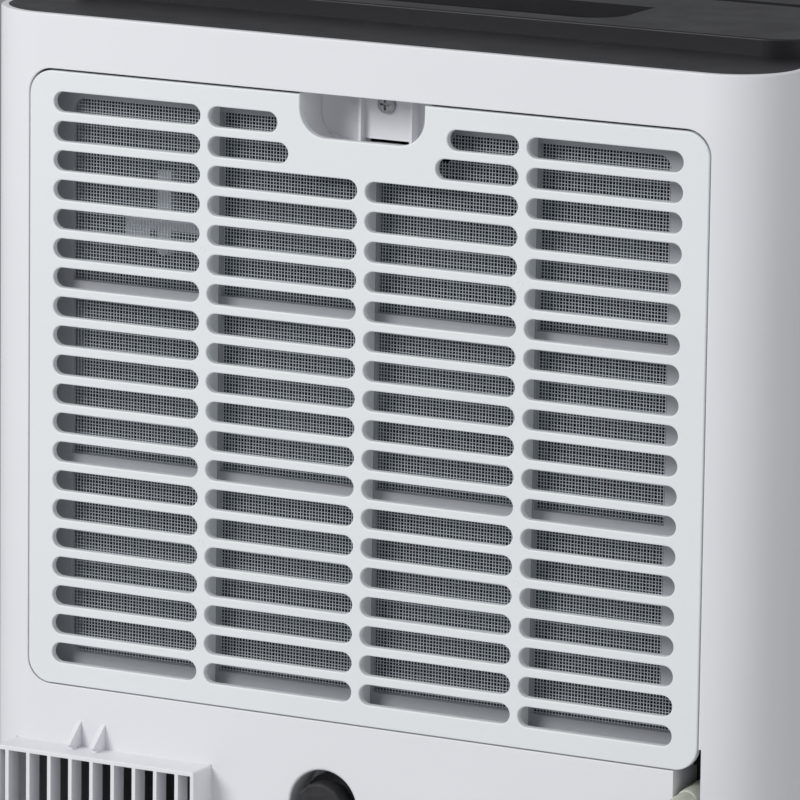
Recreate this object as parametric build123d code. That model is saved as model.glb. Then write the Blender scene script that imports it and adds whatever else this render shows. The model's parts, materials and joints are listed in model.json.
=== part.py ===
from build123d import *

# A portable room air conditioner on casters. +Z is up and the back faces +Y: it holds the
# filter door, the exhaust outlet, the drain and the cord. Air blows out of the sloping front
# of the top. The origin is on the floor, in the middle of the plan. All sizes in millimetres.
import os
from math import atan2, cos, degrees, radians, sin, tan

# ---- Housing ----
WIDTH = 355.0
DEPTH = 339.0
HEIGHT = 703.0
WALL = 3.0
EXHAUST_PROUD = 15.0                    # the exhaust frame stands this far out of the back
REAR = DEPTH / 2 - EXHAUST_PROUD        # outer face of the back wall
FRONT = -DEPTH / 2
REAR_CORNER = 29.0
FRONT_CORNER = 46.0
SEAM_Y = -38.0                          # where the front and rear shells meet
SEAM_GAP = 0.6
BASE_Z = (42.0, 50.0)                   # the visible edge of the base pan
RIM_Z = 696.0                           # top edge of the white shells
LEDGE_THICK = 3.0

# ---- Black top: a raised deck on a ledge, sloping down at the front ----
DECK_REAR_Y = REAR - 52.2
DECK_SIDE = 9.0                         # ledge left beside the deck
DECK_CORNER = 20.0
DECK_ROUND = 0.8
SLOPE_Y = -89.0                         # the slope starts here
SLOPE_DEG = 33.0
GROOVE_Y = (11.5, 18.5)
GROOVE_DEEP = 3.0
SCOOP_X = 77.2
SCOOP_Y = (49.9, 90.4)
SCOOP_CORNER = 16.0

# ---- Filter door in the back ----
DOOR_W = 303.0
DOOR_Z = (419.5, 673.0)
DOOR_H = DOOR_Z[1] - DOOR_Z[0]
DOOR_CORNER = 10.0
DOOR_THICK = 3.0
DOOR_GAP = 0.5
DOOR_TOP_GAP = 0.9
SLOT_H = 8.3
SLOT_W = 67.4
SLOT_PITCH = 12.0
SLOT_ROWS = 20
SLOT_TOP_Z = 660.6
COLUMN_X = (-106.65, -35.55, 35.55, 106.65)
COLUMN_PITCH = COLUMN_X[1] - COLUMN_X[0]
SHORT_SLOTS = (31.3, 36.3)              # the first two slots beside the finger notch
RIM_ROUND = 0.6
NOTCH_W = 55.7
NOTCH_Z = 656.2
NOTCH_CORNER = 11.5
POCKET_Z = NOTCH_Z - 4.0                # the pocket's floor lies below the notch's edge
POCKET_SIDE_DEEP = 19.0                 # a groove here parts the pocket's sides from its back
POCKET_DEEP = 24.5
POCKET_WALL = 1.6
POCKET_BEND_R = 17.0                    # the back wall curves forward to the sides
RIB_DEEP = 11.0                         # from the door's face to the back of its ribs
FRAME_Y = (REAR - 14.0, REAR - 11.2)    # filter frame
WINDOW_X = (-130.0, 137.7)
WINDOW_Z = (431.0, 660.8)
CROSSBAR_Z = (510.5, 582.5)
CROSSBAR_H = 7.0
UPRIGHT_W = 4.0
FILTER_EDGE = 147.0

# ---- Exhaust outlet, drain, cord bay and lower intake ----
OUTLET_X = (65.2, 158.0)
OUTLET_Z = (240.0, 394.5)
OUTLET_WALL = 1.7
BAR_PITCH = 9.94
BAR_FIRST = 8.1                         # from the frame's edge to the middle of the first bar
BAR_FACE = 1.6
BAR_DEEP = 8.0
CATCH_X = (116.1, 127.4)
CATCH_THICK = 2.0
DRAIN_X, DRAIN_Z, DRAIN_R = 14.0, 383.7, 15.1
SPOUT_R = 6.5
BAY_X = (-153.2, -141.5)
BAY_Z = (340.0, 417.0)
BAY_DEEP = 22.0
GRILLE_X = (-150.0, 45.0)
GRILLE_Z = (110.0, 320.0)
LOW_DRAIN_X, LOW_DRAIN_Z = 120.0, 82.0

# ---- Wheels of air, in and out ----
BLOWER_Z, BLOWER_R = 518.0, 76.0
FAN_X, FAN_Z, FAN_R = -50.0, 215.0, 80.0

# ---- Casters ----
WHEEL_R = 18.0
WHEEL_W = 14.0
CASTER_XY = ((-125.0, -118.0), (125.0, -118.0), (-125.0, 100.0), (125.0, 100.0))
CASTER_TRAIL = 10.0

# ---- Mains cord ----
CORD_D = 8.0
CORD_R = CORD_D / 2
CORD_X = (BAY_X[0] + BAY_X[1]) / 2
CORD_Z = 407.5
TIE_THICK = 1.0
COIL_CENTRE = (-46.0, 226.0)
COIL_RADII = (40.0, 56.4)               # centre lines of the innermost and outermost turns
COIL_ENTRY_DEG = 118.0
CORD_ROUTE = [
    (CORD_X, REAR, CORD_Z), (CORD_X, 177.0, CORD_Z), (-146.2, 198.0, 393.0), (-144.0, 211.0, 371.0),
    (-141.0, 216.0, 342.0), (-138.5, 216.5, 296.0), (-137.0, 214.0, 228.0), (-137.5, 210.0, 154.0),
    (-138.0, 208.5, 92.0), (-136.0, 212.0, 50.0), (-130.0, 222.0, 20.0), (-116.0, 239.0, 5.4),
    (-97.0, 259.0, 5.0)]
TAIL_ROUTE = [(-6.0, 280.8, 13.4), (16.0, 275.0, 12.2), (34.0, 267.5, 10.6)]


# ---- Helpers ----
def block(x, y, z):
    """A box between two values along each axis."""
    low, high = zip(x, y, z)
    size = [b - a for a, b in zip(low, high)]
    middle = [(a + b) / 2 for a, b in zip(low, high)]
    return Pos(*middle) * Box(*size)


def hollow_block(x, y, z, wall, open_y=(0, 0), open_z=(0, 0)):
    """A box with walls of one thickness, its ends left open where open_y or open_z says 1."""
    inner_y = (y[0] + wall * (1 - 2 * open_y[0]), y[1] - wall * (1 - 2 * open_y[1]))
    inner_z = (z[0] + wall * (1 - 2 * open_z[0]), z[1] - wall * (1 - 2 * open_z[1]))
    return block(x, y, z) - block((x[0] + wall, x[1] - wall), inner_y, inner_z)


def rod(start, end, radius):
    """A round bar between two points."""
    start, end = Vector(*start), Vector(*end)
    plane = Plane(start, z_dir=end - start)
    return plane * Cylinder(radius, (end - start).length, align=(Align.CENTER, Align.CENTER, Align.MIN))


def tube_y(x, z, y, outer, inner=0.0):
    """A round bar or tube along Y, between two values of y."""
    solid = rod((x, y[0], z), (x, y[1], z), outer)
    return solid - rod((x, y[0], z), (x, y[1], z), inner) if inner else solid


def upright(sketch, y):
    """A flat sketch in x and z, given thickness between two values of y."""
    return extrude(Plane.XZ.offset(-y[1]) * sketch, y[1] - y[0], dir=(0, -1, 0))


def across(outline, x):
    """A side outline of (y, z) points, drawn out between two values of x."""
    face = Plane.YZ.offset(x[0]) * make_face(Polyline(*outline, close=True))
    return extrude(face, x[1] - x[0], dir=(1, 0, 0))


def plan(inset=0.0):
    """The housing's outline seen from above, moved in by inset."""
    outline = Pos(0, (REAR + FRONT) / 2) * Rectangle(WIDTH - 2 * inset, REAR - FRONT - 2 * inset)
    outline = fillet(outline.vertices().sort_by(Axis.Y)[2:], REAR_CORNER - inset)
    return fillet(outline.vertices().sort_by(Axis.Y)[:2], FRONT_CORNER - inset)


def column(sketch, z):
    """A flat sketch seen from above, given height between two values of z."""
    return Pos(0, 0, z[0]) * extrude(sketch, z[1] - z[0])


def under_top(level):
    """Everything below the top surface, which is flat and then slopes down to the front."""
    foot = level - (SLOPE_Y - FRONT + 1) * tan(radians(SLOPE_DEG))
    outline = [(REAR + 1, 0), (REAR + 1, level), (SLOPE_Y, level), (FRONT - 1, foot), (FRONT - 1, 0)]
    return across(outline, (-WIDTH, WIDTH))


def deck_plan(inset=0.0):
    """The raised deck's outline seen from above."""
    y_low = FRONT + DECK_SIDE
    wide = WIDTH - 2 * (DECK_SIDE + inset)
    outline = Pos(0, (DECK_REAR_Y + y_low) / 2) * Rectangle(wide, DECK_REAR_Y - y_low - 2 * inset)
    outline = fillet(outline.vertices().sort_by(Axis.Y)[2:], DECK_CORNER - inset)
    return fillet(outline.vertices().sort_by(Axis.Y)[:2], FRONT_CORNER - DECK_SIDE - inset)


def door_outline(grow=0.0, grow_top=None):
    """The filter door's outline in x and z, its corners rounded."""
    top = DOOR_Z[1] + (grow if grow_top is None else grow_top)
    low = DOOR_Z[0] - grow
    return Pos(0, (top + low) / 2) * RectangleRounded(DOOR_W + 2 * grow, top - low, DOOR_CORNER + grow)


def notch_outline():
    """The finger notch in the door's top edge, left open at the top."""
    high = DOOR_Z[1] + 6
    shape = Pos(0, (high + NOTCH_Z) / 2) * Rectangle(NOTCH_W, high - NOTCH_Z)
    return fillet(shape.vertices().sort_by(Axis.Y)[:2], NOTCH_CORNER)


def pocket_outline(grow=0.0):
    """The finger pocket's outline: a little wider than the notch, and lower."""
    high, low = DOOR_Z[1] + DOOR_TOP_GAP, POCKET_Z - grow
    shape = Pos(0, (high + low) / 2) * Rectangle(NOTCH_W + 0.4 + 2 * grow, high - low)
    return fillet(shape.vertices().sort_by(Axis.Y)[:2], NOTCH_CORNER + grow)


def slot_places(columns, rows, top_z):
    """The middle and length of each air slot in the filter door."""
    places = []
    for number, x in enumerate(columns):
        for row in range(rows):
            length, middle = SLOT_W, x
            if number in (1, 2) and row < len(SHORT_SLOTS):
                length = SHORT_SLOTS[row]
                middle = x + (SLOT_W - length) / 2 * (1 if x > 0 else -1)
            places.append((middle, top_z - row * SLOT_PITCH, length))
    return places


# ---- Housing parts ----
def rear_shell():
    """White U-shaped shell: back wall, door opening, drain cup, cord bay and outlet hole."""
    shell = column(plan(), (BASE_Z[1], RIM_Z)) & block((-WIDTH, WIDTH), (SEAM_Y, REAR + 1), (0, HEIGHT))
    rim = shell.edges().filter_by_position(Axis.Z, RIM_Z, RIM_Z).filter_by_position(Axis.Y, SEAM_Y + 1, REAR)
    shell = fillet(rim, RIM_ROUND) - column(plan(WALL), (0, HEIGHT))
    inner = REAR - WALL
    opening = door_outline(DOOR_GAP, DOOR_TOP_GAP)
    shell -= upright(opening, (inner - 1, REAR + 1))
    shell -= tube_y(DRAIN_X, DRAIN_Z, (inner - 1, REAR + 1), DRAIN_R)
    back = shell.edges().filter_by_position(Axis.Y, REAR - 0.01, REAR + 0.01)
    drain_rim = back.filter_by(GeomType.CIRCLE).filter_by(lambda edge: abs(edge.radius - DRAIN_R) < 0.01)
    shell = fillet(drain_rim, 1.2)
    back = shell.edges().filter_by_position(Axis.Y, REAR - 0.01, REAR + 0.01)
    shell = fillet(back.filter_by_position(Axis.Z, DOOR_Z[0] - 1, DOOR_Z[1] + 1), 0.4)
    surround = door_outline(DOOR_GAP + 2, DOOR_TOP_GAP + 2) - opening
    shell += upright(surround, (REAR - POCKET_SIDE_DEEP, inner))
    ceiling = DOOR_Z[1] + DOOR_TOP_GAP
    shell += block((-30, 30), (REAR - POCKET_DEEP - POCKET_WALL, inner), (ceiling, ceiling + 2))
    shell -= block(OUTLET_X, (inner - 6, REAR + 1), OUTLET_Z)
    shell += tube_y(DRAIN_X, DRAIN_Z, (REAR - 16, inner), DRAIN_R + 2, DRAIN_R)
    shell += tube_y(DRAIN_X, DRAIN_Z, (REAR - 18, REAR - 16), DRAIN_R + 2)
    shell += tube_y(DRAIN_X, DRAIN_Z, (REAR - 16, REAR - 2), SPOUT_R)
    shell -= tube_y(DRAIN_X, DRAIN_Z, (REAR - 19, REAR - 1), SPOUT_R - 1.6)
    bay_y = (REAR - BAY_DEEP, inner)
    shell += block((BAY_X[0] - 2, BAY_X[1] + 2), bay_y, (BAY_Z[0] - 2, BAY_Z[1]))
    shell -= block(BAY_X, (REAR - BAY_DEEP - 1, REAR + 1), (BAY_Z[0], BAY_Z[1] + 12))
    shell -= block(GRILLE_X, (inner - 1, REAR + 1), GRILLE_Z)
    shell -= tube_y(LOW_DRAIN_X, LOW_DRAIN_Z, (inner - 1, REAR + 1), 11.0)
    shell += tube_y(LOW_DRAIN_X, LOW_DRAIN_Z, (REAR - 14, inner), 13.0, 11.0)
    shell += tube_y(LOW_DRAIN_X, LOW_DRAIN_Z, (REAR - 16, REAR - 14), 13.0)
    shell += tube_y(LOW_DRAIN_X, LOW_DRAIN_Z, (REAR - 14, REAR - 3), SPOUT_R)
    shell -= tube_y(LOW_DRAIN_X, LOW_DRAIN_Z, (REAR - 17, REAR - 2), SPOUT_R - 1.6)
    for side in (-1, 1):
        shell -= grip_opening(side)
    return shell


def front_shell():
    """White front shell, with a shallow panel line round its lower face."""
    shell = column(plan() - plan(WALL), (BASE_Z[1], RIM_Z)) & under_top(RIM_Z)
    shell &= block((-WIDTH, WIDTH), (FRONT - 1, SEAM_Y - SEAM_GAP), (0, HEIGHT))
    panel = Pos(0, 330) * (RectangleRounded(236, 500, 14) - RectangleRounded(233, 497, 12.5))
    shell -= upright(panel, (FRONT - 1, FRONT + 0.8))
    return shell


def grip_opening(side):
    """The hole for a grip cup in one side wall, 1 for +X and -1 for -X."""
    x = (side * (WIDTH / 2 - WALL - 1), side * (WIDTH / 2 + 1))
    return block(sorted(x), (-20, 92), (528, 566))


def side_grip(side):
    """A cup in the side wall that a hand lifts the unit by."""
    face = side * WIDTH / 2
    outer = block(sorted((face, face - side * 24)), (-20, 92), (528, 566))
    outer = fillet(outer.edges().filter_by(Axis.X), 6)
    inner = block(sorted((face + side, face - side * 21.5)), (-17.5, 89.5), (530.5, 563.5))
    return outer - fillet(inner.edges().filter_by(Axis.X), 4)


def top_cap():
    """Black top: a ledge level with the white rim and a raised deck with its openings."""
    ledge = column(plan(WALL), (500, HEIGHT)) & (under_top(RIM_Z) - under_top(RIM_Z - LEDGE_THICK))
    deck = column(deck_plan(), (500, HEIGHT)) & under_top(HEIGHT)
    top = deck.faces().filter_by(Axis.Z).sort_by(Axis.Z)[-1]
    deck = fillet(top.edges().filter_by_position(Axis.Y, SLOPE_Y + 1, REAR), DECK_ROUND)
    deck -= under_top(RIM_Z - LEDGE_THICK)
    cap = ledge + deck - (column(deck_plan(WALL), (500, HEIGHT)) & under_top(HEIGHT - WALL))
    deck_x = WIDTH / 2 - DECK_SIDE
    cap += block((-deck_x, deck_x), (GROOVE_Y[0] - 2, GROOVE_Y[1] + 2),
                 (HEIGHT - WALL - GROOVE_DEEP, HEIGHT - WALL))
    cap -= block((-WIDTH / 2, WIDTH / 2), GROOVE_Y, (HEIGHT - GROOVE_DEEP, HEIGHT + 1))
    cap -= column(scoop_plan(), (HEIGHT - WALL - 1, HEIGHT + 1))
    cap -= column(panel_plan(), (HEIGHT - WALL - 1, HEIGHT + 1))
    cap -= SLOPE * block((-FLAP_X - 0.6, FLAP_X + 0.6), FLAP_HOLE_Y, (-WALL - 9, 1))
    for side in (-1, 1):
        ear = block(sorted((side * (FLAP_X + 0.6), side * (FLAP_X + 5))), (-17, -7), (-9, -1))
        cap += (SLOPE * ear) - flap_pins(PIN_BORE)
        cap -= flap_pins(PIN_BORE)
    return cap


def scoop_plan():
    """The scoop in the deck: round corners at the back, square ones at the front."""
    outline = Pos(0, sum(SCOOP_Y) / 2) * Rectangle(2 * SCOOP_X, SCOOP_Y[1] - SCOOP_Y[0])
    return fillet(outline.vertices().sort_by(Axis.Y)[2:], SCOOP_CORNER)


def handle_scoop():
    """A finger scoop under the deck, its floor sloping down towards the back."""
    z_top, z_low = HEIGHT - WALL, HEIGHT - 31
    grown = (SCOOP_Y[0] - 2.5, SCOOP_Y[1] + 8)
    cup = block((-SCOOP_X - 2.5, SCOOP_X + 2.5), grown, (z_low, z_top))
    outline = [(SCOOP_Y[0], z_top + 1), (SCOOP_Y[0], z_top - 3), (SCOOP_Y[1] + 5.5, z_low + 6),
               (SCOOP_Y[1] + 5.5, z_top + 1)]
    return cup - across(outline, (-SCOOP_X, SCOOP_X))


# ---- Control panel ----
PANEL_X, PANEL_Y = 112.0, (-74.0, 4.0)
PANEL_TOP = HEIGHT - 0.8
PANEL_THICK = 2.4
BUTTON_R = 6.0
BUTTON_TRAVEL = 0.8
LENS_X, LENS_Y = 24.0, (-46.0, -20.0)
BUTTONS = {"button_power": (-88.0, -33.0), "button_mode": (-64.0, -33.0), "button_fan": (-40.0, -33.0),
           "button_down": (40.0, -33.0), "button_up": (64.0, -33.0), "button_timer": (88.0, -33.0)}


def panel_plan(inset=0.0):
    """The control panel's outline seen from above."""
    deep = PANEL_Y[1] - PANEL_Y[0]
    return Pos(0, sum(PANEL_Y) / 2) * RectangleRounded(2 * (PANEL_X - inset), deep - 2 * inset, 10 - inset)


def control_panel():
    """Glossy insert in the deck, with holes for the buttons and the display."""
    panel = column(panel_plan(0.1), (PANEL_TOP - PANEL_THICK, PANEL_TOP))
    for x, y in BUTTONS.values():
        panel -= Pos(x, y, PANEL_TOP) * Cylinder(BUTTON_R + 0.35, 10)
    return panel - block((-LENS_X, LENS_X), LENS_Y, (PANEL_TOP - 1.2, PANEL_TOP + 1))


def display_lens():
    """Smoked window over the temperature display."""
    lens = block((-LENS_X + 0.05, LENS_X - 0.05), (LENS_Y[0] + 0.05, LENS_Y[1] - 0.05),
                 (PANEL_TOP - 1.2, PANEL_TOP))
    return lens


def button(x, y):
    """A round key with a flange that holds it under the panel."""
    key = Pos(x, y, HEIGHT - 3) * Cylinder(BUTTON_R, 6)
    key = fillet(key.edges().sort_by(Axis.Z)[-1], 0.6)
    flange_top = PANEL_TOP - PANEL_THICK - 0.15
    return key + Pos(x, y, flange_top - 0.75) * Cylinder(BUTTON_R + 1.4, 1.5)


# ---- Outlet flap and vanes, drawn on the slope ----
SLOPE = Plane(origin=(0, SLOPE_Y, HEIGHT), x_dir=(1, 0, 0),
              z_dir=(0, -sin(radians(SLOPE_DEG)), cos(radians(SLOPE_DEG))))
FLAP_X = 127.4
FLAP_HOLE_Y = (-80.0, -8.0)
FLAP_Y = (-79.4, -11.5)
HINGE_R = 3.0
PIN_R, PIN_BORE = 1.5, 1.55
VANE_X = (-96.0, -32.0, 32.0, 96.0)
VANE_Y = (-74.0, -18.0)
VANE_Z = (-34.0, -12.0)
VANE_AXIS_Z = sum(VANE_Z) / 2
DUCT_X = 131.0
DUCT_Y = (-79.0, -13.0)
DUCT_Z = (-60.0, -10.0)


def flap_pins(radius):
    """The two pins that the flap hangs on, or their bores."""
    pins = []
    for side in (-1, 1):
        ends = [SLOPE.from_local_coords(Vector(side * x, FLAP_Y[1], -HINGE_R)) for x in (FLAP_X, FLAP_X + 4)]
        pins.append(rod(tuple(ends[0]), tuple(ends[1]), radius))
    return pins[0] + pins[1]


def louver_flap():
    """The flap that closes the air outlet, with a hinge barrel along its upper edge."""
    plate = block((-FLAP_X, FLAP_X), FLAP_Y, (-3, 0))
    plate = fillet(plate.edges().filter_by(Axis.Z).sort_by(Axis.Y)[:2], 4)
    start, end = (-FLAP_X, FLAP_Y[1], -HINGE_R), (FLAP_X, FLAP_Y[1], -HINGE_R)
    return SLOPE * (plate + rod(start, end, HINGE_R)) + flap_pins(PIN_R)


def vane(x):
    """One upright vane that steers the air sideways."""
    blade = block((x - 0.8, x + 0.8), VANE_Y, VANE_Z)
    blade += rod((x, VANE_Y[0] - 4, VANE_AXIS_Z), (x, VANE_Y[1] + 4, VANE_AXIS_Z), PIN_R)
    return SLOPE * blade


def outlet_duct():
    """The short duct below the flap, with the vanes' bearings in its long walls."""
    duct = block((-DUCT_X, DUCT_X), DUCT_Y, DUCT_Z)
    duct -= block((-DUCT_X + 3, DUCT_X - 3), (DUCT_Y[0] + 3, DUCT_Y[1] - 3), (DUCT_Z[0] - 1, DUCT_Z[1] + 1))
    for x in VANE_X:
        duct -= rod((x, DUCT_Y[0] - 1, VANE_AXIS_Z), (x, DUCT_Y[1] + 1, VANE_AXIS_Z), PIN_BORE)
    return SLOPE * duct


# ---- Filter door ----
def filter_door():
    """The slotted door in the back, with ribs behind its dividers."""
    panel = upright(door_outline() - notch_outline(), (REAR - DOOR_THICK, REAR))
    slots = Sketch() + [Pos(x, z) * SlotOverall(length, SLOT_H)
                        for x, z, length in slot_places(COLUMN_X, SLOT_ROWS, SLOT_TOP_Z)]
    panel -= upright(slots, (REAR - DOOR_THICK - 1, REAR + 1))
    face = panel.faces().filter_by(Axis.Y).sort_by(Axis.Y)[-1]
    panel = fillet(face.edges(), RIM_ROUND)
    rib_y = (REAR - RIB_DEEP, REAR - DOOR_THICK)
    for x in (-COLUMN_PITCH, COLUMN_PITCH):
        panel += block((x - 1.2, x + 1.2), rib_y, (DOOR_Z[0] + 6, DOOR_Z[1] - 6))
    panel += block((-1.2, 1.2), rib_y, (DOOR_Z[0] + 6, POCKET_Z - POCKET_WALL - 1))
    edge = door_outline(-3.5) - door_outline(-5.5) - Pos(0, DOOR_Z[1]) * Rectangle(NOTCH_W + 6, 30)
    return panel + upright(edge, rib_y)


def filter_window():
    """The openings of the filter frame: the window less two crossbars and three uprights."""
    wide, high = WINDOW_X[1] - WINDOW_X[0], WINDOW_Z[1] - WINDOW_Z[0]
    window = Pos(sum(WINDOW_X) / 2, sum(WINDOW_Z) / 2) * RectangleRounded(wide, high, 5)
    window += Pos(WINDOW_X[0], WINDOW_Z[0] + 9) * RectangleRounded(17, 18, 4)
    for z in CROSSBAR_Z:
        window -= Pos(0, z) * Rectangle(WIDTH, CROSSBAR_H)
    for x in (-COLUMN_PITCH, 0, COLUMN_PITCH):
        window -= Pos(x, sum(WINDOW_Z) / 2) * Rectangle(UPRIGHT_W, DOOR_H)
    return window


def pocket_clearance():
    """The space in the filter frame that the finger pocket fills when the door is shut."""
    low = POCKET_Z - POCKET_WALL - 1.4
    return Pos(0, DOOR_Z[1]) * Rectangle(NOTCH_W + 8, 2 * (DOOR_Z[1] - low))


def filter_frame():
    """The grey frame of the washable filter, clipped to the ribs of the door."""
    outer = Pos(0, sum(DOOR_Z) / 2) * RectangleRounded(2 * FILTER_EDGE, DOOR_H - 11, 6)
    return upright(outer - filter_window() - pocket_clearance(), FRAME_Y)


def filter_mesh():
    """The woven net, welded to the back of its frame."""
    low, high = WINDOW_Z[0] - 2, WINDOW_Z[1] + 2
    net = Pos(0, (low + high) / 2) * RectangleRounded(2 * WINDOW_X[1] + 6, high - low, 6)
    return upright(net - pocket_clearance(), (FRAME_Y[0] - 0.4, FRAME_Y[0]))


def finger_pocket():
    """The cup behind the door's notch: its floor is lower, and its back holds the screw panel."""
    back, ceiling = REAR - POCKET_DEEP, DOOR_Z[1] + DOOR_TOP_GAP
    cup = upright(pocket_outline(POCKET_WALL), (back - POCKET_WALL, REAR - DOOR_THICK - 0.3))
    space = upright(pocket_outline(), (back, REAR))
    bend_x = 16.0
    keep = block((-WIDTH, WIDTH), (REAR - POCKET_SIDE_DEEP - 0.5, REAR), (0, HEIGHT))
    keep += block((-bend_x, bend_x), (back, REAR), (0, HEIGHT))
    for x in (-bend_x, bend_x):
        keep += rod((x, back + POCKET_BEND_R, 600), (x, back + POCKET_BEND_R, 700), POCKET_BEND_R)
    cup -= space & keep
    cup -= upright(pocket_outline(0.9), (REAR - POCKET_SIDE_DEEP - 0.5, REAR - POCKET_SIDE_DEEP))
    cup += block((-11.9, 10.2), (back, back + 2.5), (POCKET_Z + 1.9, ceiling))
    for x in (-12.3, 10.6):
        cup += block((x - 0.5, x + 0.5), (back, back + 6), (POCKET_Z, ceiling))
    return cup - block((-8.4, 9.2), (back - POCKET_WALL - 1, back + 3), (POCKET_Z, POCKET_Z + 1.9))


def pan_screw(x, y, z, head_r, length, outward=1):
    """A pan-head cross screw along Y, its head outwards, with its shank in the wall behind."""
    seat, crown = y, y + outward * head_r * 0.6
    screw = rod((x, seat, z), (x, crown, z), head_r)
    rim = screw.edges().filter_by(GeomType.CIRCLE).sort_by(Axis.Y)[-1 if outward > 0 else 0]
    screw = fillet(rim, head_r * 0.35)
    recess = sorted((crown - outward * head_r * 0.35, crown + outward))
    screw -= block((x - head_r * 0.6, x + head_r * 0.6), recess, (z - 0.5, z + 0.5))
    screw -= block((x - 0.5, x + 0.5), recess, (z - head_r * 0.6, z + head_r * 0.6))
    return screw + rod((x, seat, z), (x, seat - outward * length, z), head_r * 0.42)


def pocket_screw():
    """The screw in the pocket that ties the housing to the coil bracket."""
    return pan_screw(0.0, REAR - POCKET_DEEP + 2.5, 668.6, 3.9, 5.0)


# ---- Exhaust outlet ----
def exhaust_frame():
    """The outlet frame with its upright bars, where the hose adaptor slides on."""
    y = (148.0, REAR + EXHAUST_PROUD)
    frame = block(OUTLET_X, y, OUTLET_Z)
    frame = fillet(frame.edges().filter_by(Axis.Y), 1.2)
    frame = fillet(frame.faces().sort_by(Axis.Y)[-1].edges(), 0.4)
    inner_x = (OUTLET_X[0] + OUTLET_WALL, OUTLET_X[1] - OUTLET_WALL)
    frame -= block(inner_x, (y[0] - 1, y[1] + 1), (OUTLET_Z[0] + OUTLET_WALL, OUTLET_Z[1] - OUTLET_WALL))
    inner_z = (OUTLET_Z[0] + 1, OUTLET_Z[1] - 1)
    for number in range(9):
        x = OUTLET_X[0] + BAR_FIRST + number * BAR_PITCH
        frame += block((x - BAR_FACE / 2, x + BAR_FACE / 2), (y[1] - BAR_DEEP, y[1]), inner_z)
    for z in (OUTLET_Z[0] + 51, OUTLET_Z[0] + 101):
        frame += block(inner_x, (y[1] - BAR_DEEP, y[1] - BAR_DEEP + 2), (z - 1.5, z + 1.5))
    for x in CATCH_X:
        foot = OUTLET_Z[1] - 1
        wedge = [(REAR, foot), (REAR, foot + 11.5), (REAR + 9.7, foot + 3.3), (REAR + 7.2, foot + 2.3),
                 (REAR + 7.2, foot)]
        frame += across(wedge, (x - CATCH_THICK / 2, x + CATCH_THICK / 2))
    return frame


def exhaust_duct():
    """The duct from the condenser fan to the outlet, open at both ends."""
    duct = hollow_block((OUTLET_X[0] - 4, OUTLET_X[1]), (20, 148), (OUTLET_Z[0] - 2, OUTLET_Z[1] + 2), 2.5,
                        open_y=(0, 1))
    return duct


# ---- Drain plugs and lower intake ----
def rubber_plug(x, z, y_base, base_r, cap_r):
    """A soft plug pushed over a spout: a wide ring, a sleeve and a closed cap."""
    end = y_base + 17.5
    plug = tube_y(x, z, (y_base, y_base + 5), base_r) + tube_y(x, z, (y_base, end - 4), cap_r - 1.5)
    cap = tube_y(x, z, (end - 7, end), cap_r)
    cap = fillet(cap.edges().filter_by(GeomType.CIRCLE).sort_by(Axis.Y)[-1], 1.2)
    return plug + cap - tube_y(x, z, (y_base - 1, end - 3.5), SPOUT_R + 0.06)


def lower_grille():
    """Slotted cover over the condenser's air intake; it pulls off with its net."""
    x_middle, z_middle = sum(GRILLE_X) / 2, sum(GRILLE_Z) / 2
    wide, high = GRILLE_X[1] - GRILLE_X[0] - 1, GRILLE_Z[1] - GRILLE_Z[0] - 1
    panel = upright(Pos(x_middle, z_middle) * Rectangle(wide, high), (REAR - DOOR_THICK, REAR))
    rows = int((high - 18) / SLOT_PITCH) + 1
    top = z_middle + (rows - 1) / 2 * SLOT_PITCH
    slots = Sketch()
    for x in (x_middle - 46.5, x_middle + 46.5):
        for row in range(rows):
            slots += Pos(x, top - row * SLOT_PITCH) * SlotOverall(86, SLOT_H)
    panel -= upright(slots, (REAR - DOOR_THICK - 1, REAR + 1))
    rim = Pos(x_middle, z_middle) * (Rectangle(wide - 2, high - 2) - Rectangle(wide - 6, high - 6))
    return panel + upright(rim, (REAR - 10, REAR - DOOR_THICK))


def lower_mesh():
    """The net behind the lower grille."""
    x_middle, z_middle = sum(GRILLE_X) / 2, sum(GRILLE_Z) / 2
    net = Rectangle(GRILLE_X[1] - GRILLE_X[0] - 7.2, GRILLE_Z[1] - GRILLE_Z[0] - 7.2)
    return upright(Pos(x_middle, z_middle) * net, (REAR - 9.6, REAR - 9.0))


# ---- Inside ----
def coil(x, y, z):
    """A finned coil as a plain block, with its end plates."""
    core = block(x, y, z)
    for end in x:
        core += block((end - 1, end + 1), (y[0] - 2, y[1] + 2), (z[0] - 2, z[1] + 2))
    return core


def return_bends(x, y_pair, z_values):
    """The hairpin tubes at one end of a coil."""
    bends = Part()
    for z in z_values:
        for y in y_pair:
            bends += rod((x, y, z), (x + 7, y, z), 3.2)
        bends += rod((x + 7, y_pair[0], z), (x + 7, y_pair[1], z), 3.2)
        bends += Pos(x + 7, y_pair[0], z) * Sphere(3.2) + Pos(x + 7, y_pair[1], z) * Sphere(3.2)
    return bends


def temperature_sensor():
    """The clip and probe that read the incoming air, in front of the coil."""
    y = (127.0, 131.0)
    body = block((99.3, 105.4), y, (598.0, 632.0)) + block((84.0, 120.2), y, (607.8, 612.5))
    return body + block((109.0, 120.2), y, (602.0, 608.0)) + rod((102, 126, 600), (102, 132.5, 600), 2.4)


def air_wheel(x, z, y, radius, blades):
    """A drum of curved blades on a back plate and hub."""
    drum = tube_y(x, z, (y[0], y[0] + 2), radius) + tube_y(x, z, (y[1] - 3, y[1]), radius, radius - 12)
    drum += tube_y(x, z, (y[0], y[0] + 22), 11.0)
    for number in range(blades):
        angle = 360 / blades * number
        blade = block((radius - 13, radius - 1), (y[0], y[1]), (-1, 1))
        blade = Pos(x, 0, z) * Rot(0, angle, 0) * blade
        drum += blade
    return drum - tube_y(x, z, (y[0] - 1, y[0] + 23), 4.05)


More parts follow.
